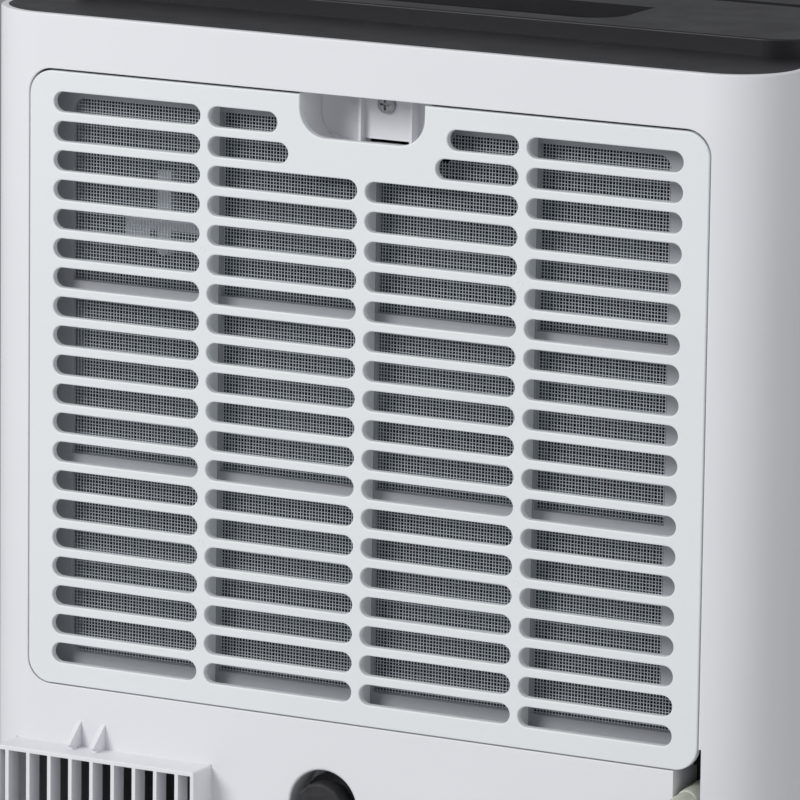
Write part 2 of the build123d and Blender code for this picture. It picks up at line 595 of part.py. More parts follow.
def fan_motor(x, z, y_face, radius, length):
    """A motor with its shaft pointing back into the air wheel."""
    body = tube_y(x, z, (y_face - length, y_face), radius)
    return body + tube_y(x, z, (y_face, y_face + 22), 4.0)


def blower_scroll():
    """The casing round the evaporator's air wheel, open at its top and at its inlet."""
    scroll = hollow_block((-98, 98), (-112, -38), (430, 606), 2.5, open_z=(0, 1))
    scroll -= tube_y(0, BLOWER_Z, (-42, -37), 62)
    return scroll - tube_y(0, BLOWER_Z, (-113, -109), 15)


def condenser_scroll():
    """The casing round the condenser's air wheel, open towards the exhaust duct."""
    scroll = hollow_block((-148, 63), (20, 90), (118, 330), 2.5)
    scroll -= tube_y(FAN_X, FAN_Z, (86, 91), 66)
    scroll -= tube_y(FAN_X, FAN_Z, (19, 23), 15)
    return scroll + exhaust_duct() - block((59, 66), (24, 86), (OUTLET_Z[0] + 3, 325))


def compressor():
    """The sealed compressor can, its bracket feet resting on rubber."""
    can = Pos(100, -70, 150) * Cylinder(50, 168)
    can = fillet(can.edges().filter_by(GeomType.CIRCLE), 18)
    for angle in (90, 210, 330):
        x, y = 100 + 58 * cos(radians(angle)), -70 + 58 * sin(radians(angle))
        can += Pos(x, y, 72) * Cylinder(11, 4) + Pos((x + 100) / 2, (y - 70) / 2, 72) * Rot(0, 0, angle) * Box(58, 18, 4)
    return can - block((40, 160), (-140, 0), (60, 66.01))


def compressor_feet():
    """Three rubber grommets under the compressor's bracket."""
    feet = Part()
    for angle in (90, 210, 330):
        x, y = 100 + 58 * cos(radians(angle)), -70 + 58 * sin(radians(angle))
        feet += Pos(x, y, 60) * Cylinder(9, 20)
    return feet


def accumulator():
    """The small suction can beside the compressor."""
    can = Pos(28, -84, 135) * Cylinder(20, 130)
    can = fillet(can.edges().filter_by(GeomType.CIRCLE), 8) + Pos(28, -84, 60) * Cylinder(14, 20)
    return can + block((20, 56), (-88, -80), (110, 116))


def copper_pipe(points, bend, radius):
    """A bent pipe through the points given."""
    path = FilletPolyline(*points, radius=bend)
    return sweep(Plane(path @ 0, z_dir=path % 0) * Circle(radius), path=path)


def refrigerant_pipes():
    """The hot pipe up to the condenser and the cold one back to the accumulator."""
    hot = copper_pipe([(100, -70, 234), (100, -70, 352), (20, -4, 352), (20, 113, 352), (20, 113, 327)], 14, 4)
    cold = copper_pipe([(-150, 110, 450), (-158, 110, 450), (-158, 0, 450), (-158, 0, 376), (28, -84, 376),
                        (28, -84, 200)], 6, 4)
    return hot + cold


def base_pan():
    """The dark tray that carries everything, with sockets for the casters."""
    pan = column(plan(), BASE_Z) + column(plan(WALL + 0.4) - plan(WALL + 2.4), (BASE_Z[1], 62))
    pan = pan - column(plan(WALL + 8), (BASE_Z[0] - 1, BASE_Z[0] + 4))
    for x, y in CASTER_XY:
        pan += Pos(x, y, 46) * Cylinder(12, 8)
        pan -= Pos(x, y, 46) * Cylinder(5.06, 20)
    return pan


def caster_fork(x, y):
    """A swivelling fork with its stem, its two cheeks and the wheel's axle."""
    axle_y = y - CASTER_TRAIL
    fork = Pos(x, y, 39.8) * Cylinder(13, 3.4) + Pos(x, y, 46) * Cylinder(5, 9)
    for side in (-1, 1):
        cheek_x = sorted((x + side * (WHEEL_W / 2 + 0.6), x + side * (WHEEL_W / 2 + 3.0)))
        outline = [(y + 8, 41.5), (y - 12, 41.5), (axle_y - 6, WHEEL_R), (axle_y - 3, WHEEL_R - 6),
                   (axle_y + 3, WHEEL_R - 6), (axle_y + 6, WHEEL_R)]
        fork += across(outline, cheek_x)
    return fork + rod((x - 10, axle_y, WHEEL_R), (x + 10, axle_y, WHEEL_R), 2.4)


def caster_wheel(x, y):
    """The wheel on the fork's axle, with a rounded tread."""
    axle_y = y - CASTER_TRAIL
    wheel = rod((x - WHEEL_W / 2, axle_y, WHEEL_R), (x + WHEEL_W / 2, axle_y, WHEEL_R), WHEEL_R)
    wheel = fillet(wheel.edges().filter_by(GeomType.CIRCLE), 2.5)
    return wheel - rod((x - 10, axle_y, WHEEL_R), (x + 10, axle_y, WHEEL_R), 2.45)


def shell_screws():
    """The identical screws that hold the rear shell to the base pan."""
    screws = Part()
    for x in (-130.0, -45.0, 45.0, 90.0):
        screws += pan_screw(x, REAR, 58.0, 3.4, 2.9)
    return screws


# ---- Mains cord ----
def bay_plate():
    """The black plate at the back of the cord bay."""
    y = (REAR - BAY_DEEP - 3, REAR - BAY_DEEP)
    return block((BAY_X[0] - 2, BAY_X[1] + 2), y, (BAY_Z[0] - 2, BAY_Z[1] + 3))


def cord_gland():
    """The tapered strain relief, from the plate to the mouth of the bay."""
    cone = Plane((CORD_X, REAR - BAY_DEEP, CORD_Z), z_dir=(0, 1, 0)) * Cone(
        CORD_R + 1.4, CORD_R + 0.5, BAY_DEEP, align=(Align.CENTER, Align.CENTER, Align.MIN))
    return cone


def coil_point(angle_deg, radius, z):
    """A point on the cord's coil."""
    angle = radians(angle_deg)
    return (COIL_CENTRE[0] + radius * cos(angle), COIL_CENTRE[1] + radius * sin(angle), z)


def route_tube(points, name):
    """A round tube along a route, each corner rounded as far as its two runs allow."""
    vectors = [Vector(*point) for point in points]
    radii = []
    for before, here, after in zip(vectors, vectors[1:], vectors[2:]):
        turn = (here - before).get_angle(after - here)
        shorter = min((here - before).length, (after - here).length)
        radii.append(0.45 * shorter / tan(radians(turn / 2)))
    path = FilletPolyline(*points, radius=radii)
    tube = sweep(Plane(path @ 0, z_dir=path % 0) * Circle(CORD_R), path=path)
    print(name, "length", round(path.length, 1), "radii", [round(radius) for radius in radii])
    return tube


def cord_tube():
    """The cord from the bay, down to the floor and up to its coil."""
    entry = coil_point(COIL_ENTRY_DEG, COIL_RADII[1], CORD_R + TIE_THICK)
    return route_tube(CORD_ROUTE + [entry], "cord_tube")


def cord_tail():
    """The end of the cord, from the coil to the plug."""
    start = coil_point(90, COIL_RADII[1], TIE_THICK + 3 * CORD_R)
    return route_tube([start] + TAIL_ROUTE, "cord_tail")


def cord_coil():
    """The outer shape of the put-away length: three turns wide and two high."""
    outer, inner = COIL_RADII[1] + CORD_R, COIL_RADII[0] - CORD_R
    middle = TIE_THICK + CORD_D + 0.1
    ring = Cylinder(outer, 2 * CORD_D + 0.2) - Cylinder(inner, 2 * CORD_D + 0.2)
    return Pos(*COIL_CENTRE, middle) * ring


def cord_tie():
    """A flat band round the coil."""
    inner, outer = COIL_RADII[0] - CORD_R, COIL_RADII[1] + CORD_R
    x = (COIL_CENTRE[0] - 5, COIL_CENTRE[0] + 5)
    y = (COIL_CENTRE[1] - outer - TIE_THICK - 0.3, COIL_CENTRE[1] - inner + TIE_THICK + 0.6)
    band = block(x, y, (0, 2 * CORD_D + 0.2 + 2 * TIE_THICK))
    return band - cord_coil()


def plug():
    """A moulded plug lying on the floor, with two blades and a round pin."""
    end, before = Vector(*TAIL_ROUTE[-1]), Vector(*TAIL_ROUTE[-2])
    heading = degrees(atan2(end.Y - before.Y, end.X - before.X))
    relief = Rot(0, 90, 0) * Cone(5.0, 6.6, 16, align=(Align.CENTER, Align.CENTER, Align.MIN))
    body = Pos(28, 0, 0) * Box(26, 25, 20)
    body = fillet(body.edges(), 3)
    for y in (-6.35, 6.35):
        body += Pos(49, y, 2) * Box(18, 1.5, 6.3)
    body += rod((40, 0, -4.5), (60, 0, -4.5), 2.4)
    return Pos(end.X, end.Y, 10.0) * Rot(0, 0, heading) * (relief + body)


# ---- Everything, by node name ----
def all_parts():
    """Every node of the model, by name."""
    parts = {
        "rear_shell": rear_shell(), "front_shell": front_shell(), "top_cap": top_cap(),
        "handle_scoop": handle_scoop(), "control_panel": control_panel(), "display_lens": display_lens(),
        "side_grips": side_grip(-1) + side_grip(1), "base_pan": base_pan(),
        "louver_flap": louver_flap(), "outlet_duct": outlet_duct(),
        "filter_door": filter_door(), "filter_frame": filter_frame(), "filter_mesh": filter_mesh(),
        "finger_pocket": finger_pocket(), "pocket_screw": pocket_screw(), "shell_screws": shell_screws(),
        "exhaust_frame": exhaust_frame(),
        "drain_plug": rubber_plug(DRAIN_X, DRAIN_Z, REAR - 13.9, 12.5, 10.4),
        "bottom_drain_plug": rubber_plug(LOW_DRAIN_X, LOW_DRAIN_Z, REAR - 12.5, 10.0, 8.5),
        "lower_grille": lower_grille(), "lower_mesh": lower_mesh(),
        "evaporator": coil((-140, 140), (96, 124), (426, 666)) + return_bends(141, (103, 117), range(440, 660, 30)),
        "temperature_sensor": temperature_sensor(),
        "blower_wheel": air_wheel(0, BLOWER_Z, (-104, -46), BLOWER_R, 28),
        "blower_scroll": blower_scroll(),
        "blower_motor": fan_motor(0, BLOWER_Z, -112, 34, 42),
        "condenser": coil((-150, 46), (98, 124), (118, 322)),
        "condenser_wheel": air_wheel(FAN_X, FAN_Z, (28, 84), FAN_R, 28),
        "condenser_scroll": condenser_scroll(),
        "condenser_motor": fan_motor(FAN_X, FAN_Z, 20, 36, 46),
        "compressor": compressor() + accumulator(), "compressor_feet": compressor_feet(),
        "refrigerant_pipes": refrigerant_pipes(),
        "drain_tray": hollow_block((-150, 150), (60, 128), (400, 421), 2.0, open_z=(0, 1)),
        "control_box": block((-78, 78), (-64, 6), (662, 692)),
        "bay_plate": bay_plate(), "cord_gland": cord_gland(), "cord_tube": cord_tube(),
        "cord_coil": cord_coil(), "cord_tie": cord_tie(), "cord_tail": cord_tail(), "plug": plug(),
    }
    for name, (x, y) in BUTTONS.items():
        parts[name] = button(x, y)
    for number, x in enumerate(VANE_X, 1):
        parts[f"vane_{number}"] = vane(x)
    return parts


def caster_parts():
    """The casters, each a fork and a wheel."""
    parts = {}
    for number, (x, y) in enumerate(CASTER_XY, 1):
        parts[f"caster_fork_{number}"] = caster_fork(x, y)
        parts[f"caster_wheel_{number}"] = caster_wheel(x, y)
    return parts


os.makedirs("parts", exist_ok=True)
for node, solid in {**all_parts(), **caster_parts()}.items():
    solid.label = node
    export_step(solid, f"parts/{node}.step")
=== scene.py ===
# %% [markdown]
# # A room air conditioner on casters, seen from behind
#
# The machine itself was drawn as solid parts: shells, door, outlet, wheels and what is inside.
# Those parts are loaded first and stay where they are. Blender then adds what solid modelling
# is poor at: the woven filter, the fins of the coils, the mains cord, small moulding marks,
# and the finish of every surface.

# %% Load the solid parts
import json
import math

import bmesh
import bpy
from mathutils import Matrix, Vector


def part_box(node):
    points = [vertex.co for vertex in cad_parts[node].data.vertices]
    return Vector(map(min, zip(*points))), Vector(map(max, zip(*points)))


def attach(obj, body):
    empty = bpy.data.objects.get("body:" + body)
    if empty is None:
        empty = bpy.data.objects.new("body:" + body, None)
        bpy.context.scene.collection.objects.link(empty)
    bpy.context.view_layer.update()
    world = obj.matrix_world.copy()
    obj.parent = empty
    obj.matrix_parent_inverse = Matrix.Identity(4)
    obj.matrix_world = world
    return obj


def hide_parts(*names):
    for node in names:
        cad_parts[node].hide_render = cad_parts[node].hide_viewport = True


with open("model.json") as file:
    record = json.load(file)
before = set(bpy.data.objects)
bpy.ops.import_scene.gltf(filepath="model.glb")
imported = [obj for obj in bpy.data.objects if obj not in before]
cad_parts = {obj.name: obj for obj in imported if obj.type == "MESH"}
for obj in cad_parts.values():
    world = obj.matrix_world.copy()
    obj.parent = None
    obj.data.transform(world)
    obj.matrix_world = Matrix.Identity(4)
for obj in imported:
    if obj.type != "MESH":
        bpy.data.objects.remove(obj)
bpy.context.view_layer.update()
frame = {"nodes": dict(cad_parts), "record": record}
nodes = frame["nodes"]
slot_of = {row["node"]: row["material_slot"] for row in frame["record"]["subparts"]}

# %% [markdown]
# ## Units and places
#
# Everything is in metres and in the same frame as the solid parts, so a place is read from a
# part's own box instead of being typed again. Only sizes that no box holds, such as the pitch
# of the weave, are given here.

# %% Places read from the parts
MM = 0.001
door_low, door_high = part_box("filter_door")
FACE_Y = door_high.y                     # outer face of the door and the back wall
print("back face at y =", round(FACE_Y, 4))

# %% [markdown]
# ## The camera
#
# A long lens from almost three metres away keeps the slots nearly parallel. The camera stands
# behind the machine, a little to its left and above it, and is rolled by less than a degree.
# Its axes are worked out from the azimuth and elevation, so no constraint is needed.

# %% Camera
AZIMUTH, ELEVATION, ROLL = math.radians(207.5), math.radians(11.5), math.radians(0.75)
DISTANCE = 2.832
LENS_MM, SENSOR_MM = 321.9, 36.0
NEAR_CLIP, FAR_CLIP = 0.05, 50.0
LOOK_AT = Vector((-0.0187, FACE_Y, 0.5545))

back = Vector((math.sin(AZIMUTH) * math.cos(ELEVATION), -math.cos(AZIMUTH) * math.cos(ELEVATION),
               math.sin(ELEVATION)))
level_right = Vector((math.cos(AZIMUTH), math.sin(AZIMUTH), 0))
level_up = back.cross(level_right)
right = level_right * math.cos(ROLL) + level_up * math.sin(ROLL)
up = level_up * math.cos(ROLL) - level_right * math.sin(ROLL)

camera_data = bpy.data.cameras.new("camera")
camera_data.lens = LENS_MM
camera_data.sensor_width = SENSOR_MM
camera_data.clip_start, camera_data.clip_end = NEAR_CLIP, FAR_CLIP
camera = bpy.data.objects.new("camera", camera_data)
bpy.context.collection.objects.link(camera)
place = Matrix((right, up, back)).transposed().to_4x4()
place.translation = LOOK_AT + back * DISTANCE
camera.matrix_world = place
bpy.context.scene.camera = camera
print("camera", [round(v, 3) for v in camera.location], "lens", LENS_MM, "mm")

# %% [markdown]
# ## Helpers for new pieces
#
# Each new piece is made in a bmesh, turned into one object at the origin, given a body to ride
# on and the material slot that its finish comes from. Faces that meet at a gentle angle are
# shaded smooth, and sharper edges stay crisp.

# %% Making an object from a bmesh
CRISP_ANGLE = math.radians(35)


def finish_piece(bm, name, body, slot):
    """Turns a bmesh into an object that rides on a body and uses a slot's material."""
    mesh = bpy.data.meshes.new(name)
    bm.to_mesh(mesh)
    bm.free()
    mesh.shade_smooth()
    mesh.set_sharp_from_angle(angle=CRISP_ANGLE)
    piece = bpy.data.objects.new(name, mesh)
    bpy.context.collection.objects.link(piece)
    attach(piece, body)
    piece.data.materials.append(MATERIALS[slot])
    print(name, len(mesh.polygons), "faces")
    return piece


def add_bar(bm, low, high):
    """A box between two corners, as one of many in a bmesh."""
    size = Vector(high) - Vector(low)
    middle = (Vector(high) + Vector(low)) / 2
    bmesh.ops.create_cube(bm, size=1,
                          matrix=Matrix.Translation(middle) @ Matrix.Diagonal((*size, 1)))


def add_rod(bm, start, end, radius, sides=16):
    """A round bar between two points."""
    start, end = Vector(start), Vector(end)
    along = end - start
    turn = along.to_track_quat("Z", "Y").to_matrix().to_4x4()
    bmesh.ops.create_cone(bm, cap_ends=True, segments=sides, radius1=radius, radius2=radius,
                          depth=along.length, matrix=Matrix.Translation((start + end) / 2) @ turn)


# %% [markdown]
# ## Finishes
#
# Moulded plastic is never one flat colour. The mould's fine spark texture breaks up highlights,
# a slow drift in tone runs over large panels, and the gloss varies a little. One function makes
# that family of finishes, and each plastic is a call with its own colour, gloss and grain.
# All patterns read Object coordinates in metres, so a scale of 1000 is one cycle a millimetre.

# %% A function for moulded plastics
MATERIALS = {}
NOISE_LOW, NOISE_HIGH = 0.3, 0.7         # the range that noise values mostly fill
DRIFT_SCALE, GLOSS_SCALE = 9.0, 60.0     # patches of tone and of gloss, in cycles a metre
GLOSS_SPREAD, POLISH_SPREAD = 0.04, 0.07
GRAIN_DEEP = 0.03 * MM


def start_material(name, colour, roughness):
    """A new material with its Principled shader, node tree and Object coordinates."""
    material = bpy.data.materials.new(name)
    material.use_nodes = True
    tree = material.node_tree
    shader = tree.nodes["Principled BSDF"]
    shader.inputs["Base Color"].default_value = (*colour, 1)
    shader.inputs["Roughness"].default_value = roughness
    where = tree.nodes.new("ShaderNodeTexCoord").outputs["Object"]
    MATERIALS[name] = material
    return tree, shader, where


def noise(tree, where, scale, detail=2.0, stretch=None):
    """A noise pattern at a scale in cycles a metre, stretched along an axis if asked."""
    texture = tree.nodes.new("ShaderNodeTexNoise")
    texture.inputs["Scale"].default_value = scale
    texture.inputs["Detail"].default_value = detail
    if stretch:
        mapping = tree.nodes.new("ShaderNodeMapping")
        mapping.inputs["Scale"].default_value = stretch
        tree.links.new(where, mapping.inputs["Vector"])
        where = mapping.outputs["Vector"]
    tree.links.new(where, texture.inputs["Vector"])
    return texture.outputs["Fac"]


def remap(tree, value, low, high):
    """A noise value moved into the range low to high."""
    node = tree.nodes.new("ShaderNodeMapRange")
    node.inputs["From Min"].default_value = NOISE_LOW
    node.inputs["From Max"].default_value = NOISE_HIGH
    node.inputs["To Min"].default_value = low
    node.inputs["To Max"].default_value = high
    tree.links.new(value, node.inputs["Value"])
    return node.outputs["Result"]


def two_tones(tree, shader, fac, first, second):
    """Mixes two colours into the base colour by a value."""
    mix = tree.nodes.new("ShaderNodeMix")
    mix.data_type = "RGBA"
    mix.inputs["A"].default_value = (*first, 1)
    mix.inputs["B"].default_value = (*second, 1)
    tree.links.new(fac, mix.inputs["Factor"])
    tree.links.new(mix.outputs["Result"], shader.inputs["Base Color"])


def add_bump(tree, shader, height, strength):
    """Bump as deep as the mould's grain, from a height pattern."""
    bump = tree.nodes.new("ShaderNodeBump")
    bump.inputs["Strength"].default_value = strength
    bump.inputs["Distance"].default_value = GRAIN_DEEP
    tree.links.new(height, bump.inputs["Height"])
    tree.links.new(bump.outputs["Normal"], shader.inputs["Normal"])


def moulded(name, colour, roughness, drift=0.03, grain=1400.0, strength=0.25):
    """Plastic from a textured mould: slow drift in tone, uneven gloss and a fine grain."""
    tree, shader, where = start_material(name, colour, roughness)
    darker = tuple(channel * (1 - drift) for channel in colour)
    lighter = tuple(min(channel * (1 + drift), 1.0) for channel in colour)
    slow_drift = remap(tree, noise(tree, where, DRIFT_SCALE), 0.0, 1.0)
    two_tones(tree, shader, slow_drift, darker, lighter)
    gloss = remap(tree, noise(tree, where, GLOSS_SCALE, 4.0),
                  roughness - GLOSS_SPREAD, roughness + GLOSS_SPREAD)
    tree.links.new(gloss, shader.inputs["Roughness"])
    add_bump(tree, shader, noise(tree, where, grain, 1.0), strength)
    return tree, shader, where


# %% [markdown]
# The housing is a cool white with a satin skin, and the door is moulded separately, so it is
# a touch greener. The top is a black satin that looks dark grey where it faces the light, and
# its shine is held down so that its upright faces stay nearly black. The rest are the duller
# plastics inside and below.

# %% The plastics
moulded("white_housing", (0.780, 0.785, 0.815), 0.46, drift=0.012)
moulded("white_door", (0.770, 0.800, 0.818), 0.42, drift=0.010)
_, black_shader, _ = moulded("black_top", (0.0125, 0.0120, 0.0150), 0.42, drift=0.10,
                             grain=1800.0, strength=0.5)
black_shader.inputs["Specular IOR Level"].default_value = 0.32
moulded("gloss_panel", (0.010, 0.010, 0.012), 0.10, drift=0.10, strength=0.02)
moulded("smoked_lens", (0.012, 0.012, 0.016), 0.05, drift=0.05, strength=0.0)
moulded("dark_base", (0.022, 0.022, 0.024), 0.60, drift=0.12, strength=0.5)
moulded("grey_frame", (0.390, 0.402, 0.428), 0.48, drift=0.03)
moulded("pale_clip", (0.620, 0.615, 0.650), 0.45, drift=0.03)
moulded("dark_wheel", (0.030, 0.030, 0.034), 0.55, drift=0.12)
moulded("grey_duct", (0.180, 0.185, 0.195), 0.70, drift=0.08, grain=700.0, strength=0.7)
moulded("grey_button", (0.120, 0.120, 0.130), 0.38, drift=0.05)
moulded("wheel_tread", (0.030, 0.030, 0.032), 0.52, drift=0.15, strength=0.4)
moulded("filter_net", (0.540, 0.590, 0.630), 0.45, drift=0.06)
print(len(MATERIALS), "plastics")

# %% [markdown]
# Rubber is darker and duller than plastic, and dust clings to it in specks. The cord's jacket
# is soft ivory PVC that lets a little light in. Both start from the same recipe.

# %% Rubber and the cord's jacket
tree, shader, where = moulded("black_rubber", (0.013, 0.013, 0.015), 0.62, drift=0.2,
                              grain=900.0, strength=0.6)
dust = remap(tree, noise(tree, where, 420.0, 5.0), 0.0, 1.0)
two_tones(tree, shader, dust, (0.009, 0.009, 0.011), (0.024, 0.024, 0.027))

_, shader, _ = moulded("ivory_jacket", (0.560, 0.570, 0.490), 0.42, drift=0.04,
                       grain=500.0, strength=0.2)
shader.inputs["Subsurface Weight"].default_value = 0.08
shader.inputs["Subsurface Scale"].default_value = 0.002

# %% [markdown]
# Bare metal shows the way it was worked. The screws are zinc plated with fine turning marks,
# pipes are drawn copper with a little tarnish, and motors are dull pressed steel. The coil's
# fins have a blue water-shedding coat that varies from fin to fin. The compressor's black
# paint has the same patches and grain, so it uses the same function with no metal in it.

# %% The metals
METAL_GRAIN, METAL_BUMP = 900.0, 0.3


def metal(name, colour, roughness, second, scale, stretch=None, metallic=1.0):
    """Metal with two tones in patches and uneven polish."""
    tree, shader, where = start_material(name, colour, roughness)
    shader.inputs["Metallic"].default_value = metallic
    patches = noise(tree, where, scale, 4.0, stretch)
    two_tones(tree, shader, remap(tree, patches, 0.0, 1.0), colour, second)
    polish = remap(tree, noise(tree, where, scale * 4, 3.0, stretch),
                   roughness - POLISH_SPREAD, roughness + POLISH_SPREAD)
    tree.links.new(polish, shader.inputs["Roughness"])
    add_bump(tree, shader, noise(tree, where, METAL_GRAIN, 2.0, stretch), METAL_BUMP)


metal("screw_steel", (0.50, 0.51, 0.53), 0.30, (0.34, 0.35, 0.37), 700.0, stretch=(1, 1, 4))
metal("motor_steel", (0.34, 0.35, 0.36), 0.45, (0.26, 0.27, 0.28), 60.0)
metal("copper", (0.62, 0.30, 0.18), 0.32, (0.40, 0.20, 0.13), 90.0)
metal("coil_fins", (0.055, 0.130, 0.150), 0.42, (0.020, 0.045, 0.065), 45.0,
      stretch=(6, 1, 0.4))
metal("black_paint", (0.020, 0.020, 0.022), 0.40, (0.030, 0.030, 0.032), 40.0, metallic=0.0)

for name, part in nodes.items():
    part.data.materials.clear()
    part.data.materials.append(MATERIALS[slot_of[name]])
print(len(MATERIALS), "finishes on", len(nodes), "parts")

# %% [markdown]
# ## The woven filter
#
# The filter is a net of plastic threads about a third of a millimetre thick. A painted weave
# would look flat behind the slots, and thin threads with real gaps show the dark coil behind
# them. Each thread is one long bar with four sides: the upright threads lie in front of the
# level ones by half a thread. Their spacing wavers a little, as it does in a stretched net.
# The net stops short where the finger pocket comes through.

# %% Filter nets
THREAD = 0.31 * MM
FILTER_PITCH, LOWER_PITCH = 1.38 * MM, 1.6 * MM
NET_WAVER = 0.05                         # share of the pitch that a thread strays by
WAVER_STEP = 2.4                         # radians from one thread's stray to the next
POCKET_SIDE_GAP, POCKET_FOOT_GAP = 2.2 * MM, 1.4 * MM


def even_places(low, high, pitch, waver=0.0):
    """Places between two edges at an even pitch, apart from a slight waver if asked."""
    count = int((high - low) / pitch)
    first = (low + high - (count - 1) * pitch) / 2
    return [first + pitch * (number + waver * math.sin(number * WAVER_STEP))
            for number in range(count)]


def woven_net(name, node, body, pitch, gap=None):
    """A net of crossing threads in a node's box, with an optional gap (half width, lowest z)."""
    low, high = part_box(node)
    middle_y = (low.y + high.y) / 2
    half = THREAD / 2
    bm = bmesh.new()
    for x in even_places(low.x, high.x, pitch, NET_WAVER):
        top = gap[1] if gap and abs(x) < gap[0] else high.z
        add_bar(bm, (x - half, middle_y, low.z), (x + half, middle_y + THREAD, top))
    for z in even_places(low.z, high.z, pitch, NET_WAVER):
        spans = [(low.x, high.x)]
        if gap and z > gap[1]:
            spans = [(low.x, -gap[0]), (gap[0], high.x)]
        for start, end in spans:
            add_bar(bm, (start, middle_y - half, z - half), (end, middle_y + half, z + half))
    net = finish_piece(bm, name, body, "filter_net")
    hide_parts(node)


pocket_low, pocket_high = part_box("finger_pocket")
pocket_clear = (pocket_high.x + POCKET_SIDE_GAP, pocket_low.z - POCKET_FOOT_GAP)
woven_net("filter_net", "filter_mesh", "filter_door", FILTER_PITCH, pocket_clear)
woven_net("lower_net", "lower_mesh", "lower_grille", LOWER_PITCH)

# %% [markdown]
# ## The coils
#
# Behind the net stands a stack of thin upright fins on level tubes. The solid part is a plain
# block, so it is replaced by the fins themselves. They are what gives the slots their dark,
# faintly blue depth, and fins of six faces each cost very little. The evaporator's block also
# covers the bends at its end, so its fins stop short of them.

# %% Finned coils
FIN_PITCH, FIN_THICK = 1.8 * MM, 0.25 * MM
TUBE_R, TUBE_PITCH = 3.5 * MM, 20 * MM
PLATE = 2 * MM
BEND_ROOM = 9.2 * MM                     # left at the evaporator's end for its bends


def finned_coil(name, node, end_room=0.0):
    """Fins, tubes and end plates in the box of a solid coil, less some room at its end."""
    low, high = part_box(node)
    low = low + Vector((0, PLATE, PLATE))
    high = high - Vector((end_room, PLATE, PLATE))
    bm = bmesh.new()
    for x in even_places(low.x + PLATE, high.x - PLATE, FIN_PITCH):
        add_bar(bm, (x - FIN_THICK / 2, low.y, low.z), (x + FIN_THICK / 2, high.y, high.z))
    for x in (low.x, high.x - PLATE):
        add_bar(bm, (x, low.y - PLATE, low.z - PLATE), (x + PLATE, high.y + PLATE, high.z + PLATE))
    quarter = (high.y - low.y) / 4
    for z in even_places(low.z, high.z, TUBE_PITCH):
        for y in (low.y + quarter, high.y - quarter):
            add_rod(bm, (low.x - PLATE, y, z), (high.x + PLATE, y, z), TUBE_R, 12)
    coil = finish_piece(bm, name, "root", "coil_fins")
    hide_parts(node)


finned_coil("evaporator_fins", "evaporator", BEND_ROOM)
finned_coil("condenser_fins", "condenser")

# %% [markdown]
# ## Hairpin bends
#
# The coil's tubes are joined in pairs by copper bends that stand out of the end plate. Each is
# a small circle spun half a turn, with its two ends closed. They are mostly hidden, yet they
# show when the door is open.

# %% Copper bends at the coil's end
BEND_R, BEND_REACH = 3.2 * MM, 7 * MM    # pipe radius, and radius of the half turn
evaporator_low, evaporator_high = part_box("evaporator")
bend_x = evaporator_high.x - 9 * MM
middle_y = (evaporator_low.y + evaporator_high.y) / 2
bm = bmesh.new()
for z in even_places(evaporator_low.z + PLATE, evaporator_high.z - PLATE, TUBE_PITCH):
    ring = bmesh.ops.create_circle(bm, cap_ends=False, segments=10, radius=BEND_R,
                                   matrix=Matrix.Translation((bend_x, middle_y - BEND_REACH, z))
                                   @ Matrix.Rotation(math.pi / 2, 4, "Y"))
    edges = list({edge for vert in ring["verts"] for edge in vert.link_edges})
    bmesh.ops.spin(bm, geom=ring["verts"] + edges, cent=(bend_x, middle_y, z), axis=(0, 0, -1),
                   angle=math.pi, steps=10, use_merge=False)
bmesh.ops.holes_fill(bm, edges=bm.edges[:])
bmesh.ops.recalc_face_normals(bm, faces=bm.faces)
finish_piece(bm, "coil_bends", "root", "copper")

# %% [markdown]
# ## Marks left by the mould
#
# Ejector pins leave faint rings on the door's dividers. They are tiny, but a real panel has
# them, and they help the eye judge its size. Each is a thin ring made by spinning a small
# circle, sunk so that only its crest stands out.

# %% Ejector rings on the door
RING_R, RING_WIRE = 1.05 * MM, 0.14 * MM
DOOR_MARGIN_X, DOOR_MARGIN_Z = 18.6 * MM, 12.4 * MM     # both sides together, and the top
SLOT_PITCH = 12 * MM
RING_ROWS = (4.5, 14.5)                  # slots down from the first, halfway between two
divider_x = (door_high.x - door_low.x - DOOR_MARGIN_X) / 4
ring_z = [door_high.z - DOOR_MARGIN_Z - row * SLOT_PITCH for row in RING_ROWS]
bm = bmesh.new()
for x in (-divider_x, divider_x):
    for z in ring_z:
        wire = bmesh.ops.create_circle(bm, cap_ends=False, segments=8, radius=RING_WIRE,
                                       matrix=Matrix.Translation((x + RING_R, FACE_Y, z)))
        edges = list({edge for vert in wire["verts"] for edge in vert.link_edges})
        bmesh.ops.spin(bm, geom=wire["verts"] + edges, cent=(x, FACE_Y, z), axis=(0, 1, 0),
                       angle=2 * math.pi, steps=24, use_merge=True)
bmesh.ops.recalc_face_normals(bm, faces=bm.faces)
finish_piece(bm, "ejector_rings", "filter_door", "white_door")

# %% [markdown]
# ## Symbols on the keys
#
# Keys carry plain raised signs instead of words: a broken ring for power, arrows for up and
# down, three discs for the fan, a square for mode and clock hands for the timer. They are thin
# shapes on the key's crown, and each rides on its own key so that it goes down with it.

# %% Key symbols
SIGN_HIGH = 0.08 * MM
STROKE = 0.5 * MM                        # width of a line in a sign


def around(radius, degrees):
    """A place on a circle in the plane of the key's crown."""
    angle = math.radians(degrees)
    return (radius * math.cos(angle), radius * math.sin(angle))


